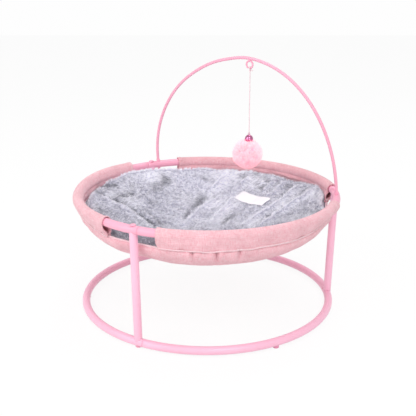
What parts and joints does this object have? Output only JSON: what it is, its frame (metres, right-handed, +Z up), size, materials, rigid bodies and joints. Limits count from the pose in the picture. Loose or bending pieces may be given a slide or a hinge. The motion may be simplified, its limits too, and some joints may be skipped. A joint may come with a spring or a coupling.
{
  "type": "raised hammock cat bed with toy arch",
  "caption": "Round raised cat bed: steel rings on legs, a fabric bowl with a plush pad, and a plug-in wire arch with a hanging bell and fluffy ball.",
  "frame": {"origin": "on the floor, under the common axis of the two rings", "axes": "+Z up, +X from the middle to leg 1, -Y towards the viewer of the picture"},
  "size_m": [0.5093, 0.5094, 0.4732],
  "materials": {
    "painted_steel": "satin",
    "plated_steel": "satin",
    "pink_fabric": "matte",
    "grey_plush": "matte",
    "label_cloth": "matte",
    "string_fibre": "matte",
    "bell_metal": "polished",
    "pompom_fluff": "matte",
    "glide_plastic": "matte"
  },
  "bodies": {
    "bed": {"base_ring_arc_1": "painted_steel", "base_ring_arc_2": "painted_steel", "base_ring_arc_3": "painted_steel", "upper_ring_arc_1": "painted_steel", "upper_ring_arc_2": "painted_steel", "upper_ring_arc_3": "painted_steel", "leg_1": "painted_steel", "leg_2": "painted_steel", "leg_3": "painted_steel", "leg_1_lower_plug": "plated_steel", "leg_2_lower_plug": "plated_steel", "leg_3_lower_plug": "plated_steel", "leg_1_upper_plug": "plated_steel", "leg_2_upper_plug": "plated_steel", "leg_3_upper_plug": "plated_steel", "upper_bolt_1": "painted_steel", "upper_bolt_2": "painted_steel", "upper_bolt_3": "painted_steel", "lower_bolt_1": "painted_steel", "lower_bolt_2": "painted_steel", "lower_bolt_3": "painted_steel", "foot_glide_1": "glide_plastic", "foot_glide_2": "glide_plastic", "foot_glide_3": "glide_plastic", "sleeve_1": "pink_fabric", "sleeve_2": "pink_fabric", "sleeve_3": "pink_fabric", "hammock_bowl": "pink_fabric", "plush_pad": "grey_plush", "pad_label": "label_cloth"},
    "arch": {"toy_arch": "painted_steel", "toy_eye": "painted_steel"},
    "loop": {"string_loop": "string_fibre"},
    "toy": {"toy_string": "string_fibre", "bell_shell": "bell_metal", "bell_pellet": "plated_steel", "pompom": "pompom_fluff"}
  },
  "joints": [
    {"name": "arch_lift", "type": "slide", "parent": "bed", "child": "arch", "axis": [-0.0767, -0.1056, 0.9914], "range_m": [0, 0.03]},
    {"name": "toy_swing_out", "type": "hinge", "parent": "arch", "child": "loop", "pos_m": [0.08063, 0.04293, 0.45142], "axis": [0.7942, -0.577, 0.1908], "range_deg": [-60, 60]},
    {"name": "toy_swing_along", "type": "hinge", "parent": "loop", "child": "toy", "pos_m": [0.08063, 0.04293, 0.44692], "axis": [0.5878, 0.809, 0], "range_deg": [-45, 45]}
  ]
}
